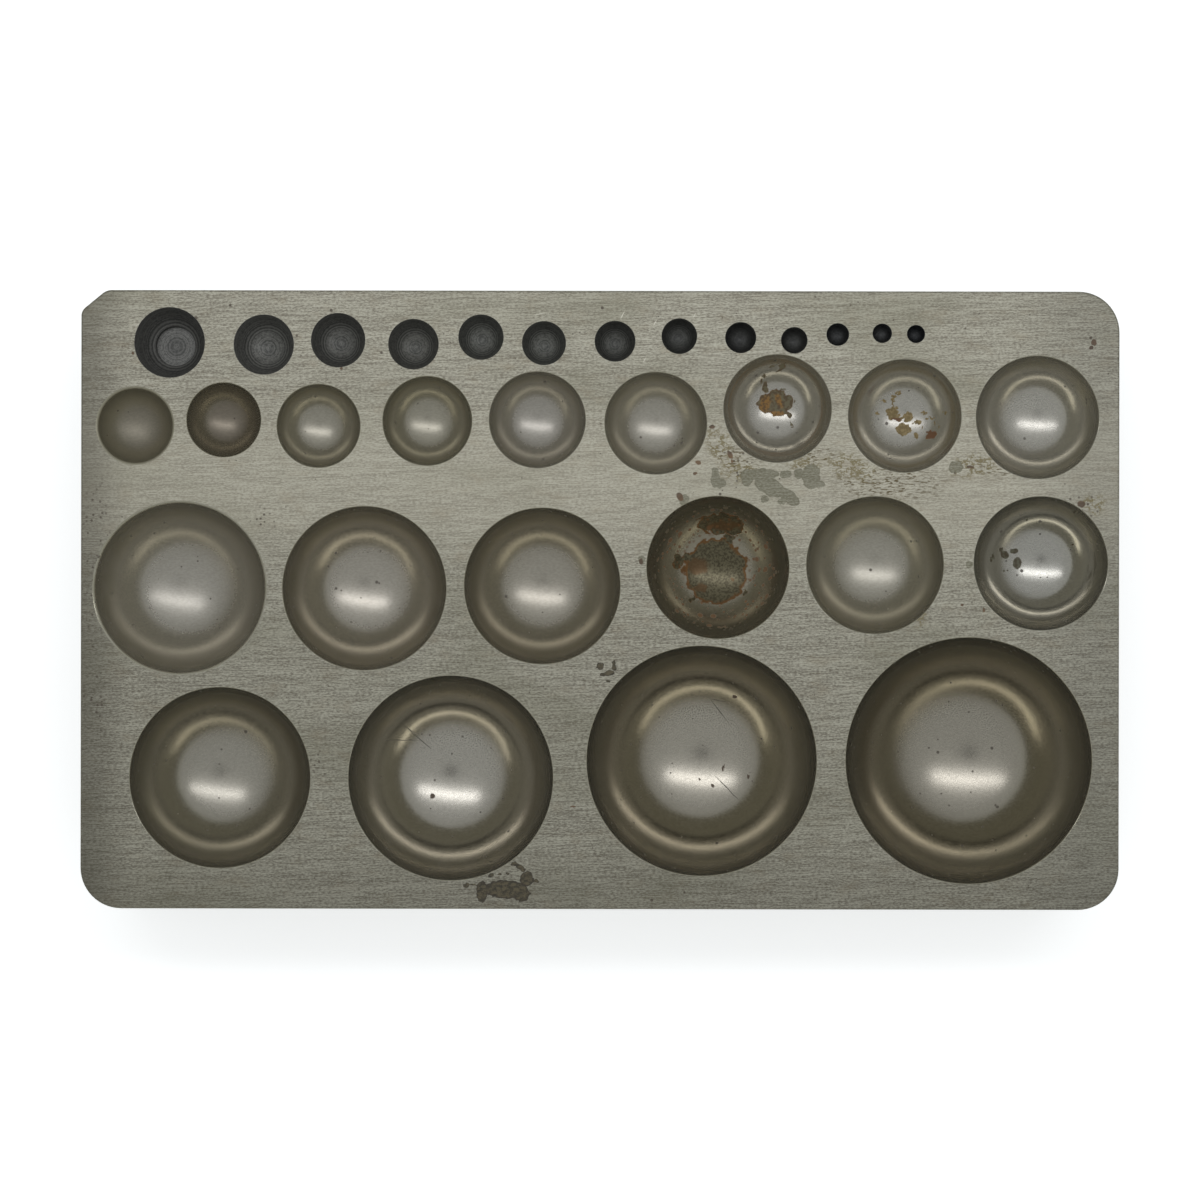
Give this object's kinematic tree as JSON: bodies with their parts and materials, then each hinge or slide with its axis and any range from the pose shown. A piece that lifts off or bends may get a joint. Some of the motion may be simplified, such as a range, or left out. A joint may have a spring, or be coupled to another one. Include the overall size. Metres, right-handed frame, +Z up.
{
  "type": "dapping block",
  "caption": "Solid steel block with rows of graded half-ball cups sunk into its flat top face, for doming sheet metal under round-headed punches.",
  "frame": {"origin": "centre of the underside", "axes": "+X along the rows towards the end where the small cups run out, +Y towards the edge with the drilled row, +Z up out of the cups"},
  "size_m": [0.16, 0.0952, 0.025],
  "materials": {
    "steel": "ground face with fine scratches, worn polished cups, dull drilled cups, spots of rust"
  },
  "bodies": {
    "root": {"block": "steel"}
  },
  "joints": []
}
